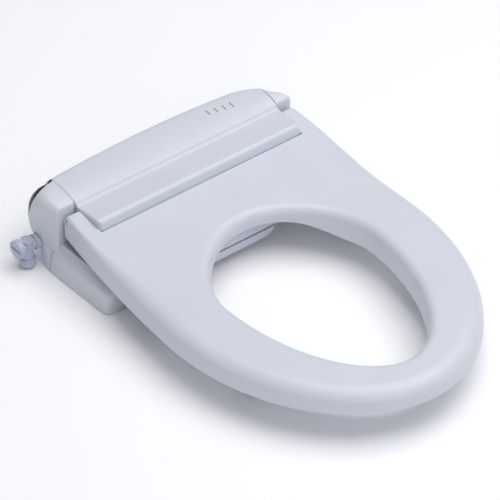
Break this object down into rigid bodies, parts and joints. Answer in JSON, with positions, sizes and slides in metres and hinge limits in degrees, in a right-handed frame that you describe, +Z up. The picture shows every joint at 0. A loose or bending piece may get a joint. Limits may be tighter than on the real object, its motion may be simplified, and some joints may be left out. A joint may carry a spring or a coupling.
{
  "type": "electric bidet seat",
  "caption": "Open-ring electric bidet seat with a hinged heated seat, a sliding spray nozzle behind a flap, a side water inlet and a slotted mounting plate.",
  "frame": {"origin": "midway between the two bowl bolts, on the plane of the bowl's rim", "axes": "+X across the seat to the right-hand side as seen by someone facing it, +Y from the seat's tip to its rear, +Z up"},
  "size_m": [0.403, 0.544, 0.096],
  "materials": {
    "casing_white": "gloss",
    "seat_white": "satin gloss",
    "seat_base_grey": "satin",
    "smoked_window": "polished, smoked",
    "lens_grey": "satin",
    "sensor_grey": "satin",
    "housing_grey": "fine matt",
    "nozzle_white": "gloss",
    "gear_resin": "moulded acetal",
    "steel": "zinc plated",
    "hinge_pin_steel": "ground",
    "rubber_grey": "moulded",
    "gasket_black": "moulded",
    "inlet_grey": "satin",
    "heater_resin": "glass-filled",
    "valve_blue": "moulded",
    "pump_black": "moulded",
    "pipe_white": "extruded",
    "board_green": "solder resist",
    "potting_grey": "potted",
    "strainer_mesh": "woven mesh",
    "foil": "foil",
    "sensor_brass": "turned"
  },
  "bodies": {
    "base_unit": {"lower_case": "casing_white", "top_cover": "casing_white", "left_side_cover": "casing_white", "right_side_cover": "casing_white", "receiver_window": "smoked_window", "sensor_window": "sensor_grey", "indicator_lenses": "lens_grey", "mounting_plate": "housing_grey", "case_screws": "steel", "nozzle_housing": "housing_grey", "nozzle_guide": "housing_grey", "nozzle_motor": "steel", "water_heater": "heater_resin", "heater_sensor": "sensor_brass", "inlet_valve": "valve_blue", "flow_pump": "pump_black", "supply_pipe": "pipe_white", "heater_pipe": "pipe_white", "control_board": "board_green", "power_supply": "potting_grey", "cord_gland": "gasket_black", "hinge_damper_left": "nozzle_white", "hinge_damper_right": "nozzle_white", "inlet_body": "inlet_grey", "inlet_gasket": "gasket_black"},
    "seat": {"seat_upper_shell": "seat_white", "seat_lower_shell": "seat_base_grey", "seat_heater": "foil", "hinge_pin_left": "hinge_pin_steel", "hinge_pin_right": "hinge_pin_steel", "seat_bumpers": "rubber_grey"},
    "nozzle": {"nozzle_tube": "nozzle_white", "nozzle_tip": "nozzle_white", "nozzle_rack": "gear_resin"},
    "shutter": {"nozzle_shutter": "housing_grey"},
    "pinion": {"drive_pinion": "gear_resin"},
    "release": {"release_button": "housing_grey"},
    "plug": {"drain_plug": "inlet_grey", "inlet_strainer": "strainer_mesh"}
  },
  "joints": [
    {"name": "seat_hinge", "type": "hinge", "parent": "base_unit", "child": "seat", "pos_m": [0, -0.002, 0.0755], "axis": [-1, 0, 0], "range_deg": [0, 100]},
    {"name": "nozzle_slide", "type": "slide", "parent": "base_unit", "child": "nozzle", "axis": [0, -0.9703, -0.2419], "range_m": [0, 0.1]},
    {"name": "shutter_hinge", "type": "hinge", "parent": "base_unit", "child": "shutter", "pos_m": [0, -0.1055, 0.0272], "axis": [-1, 0, 0], "range_deg": [0, 106.2]},
    {"name": "pinion_spin", "type": "hinge", "parent": "base_unit", "child": "pinion", "pos_m": [0.0152, -0.04243, 0.03592], "axis": [0, -0.2419, 0.9703], "range_deg": [0, 718]},
    {"name": "release_press", "type": "slide", "parent": "base_unit", "child": "release", "axis": [-1, 0, 0], "range_m": [0, 0.003], "stiffness_N_per_m": 400},
    {"name": "drain_plug_turn", "type": "hinge", "parent": "base_unit", "child": "plug", "pos_m": [-0.215, 0.041, 0.03], "axis": [-1, 0, 0], "range_deg": [-90, 0]}
  ],
  "couplings": [
    {"joint": "shutter_hinge", "follows": "nozzle_slide", "rad_per_m": 18.5},
    {"joint": "pinion_spin", "follows": "nozzle_slide", "rad_per_m": 125}
  ]
}
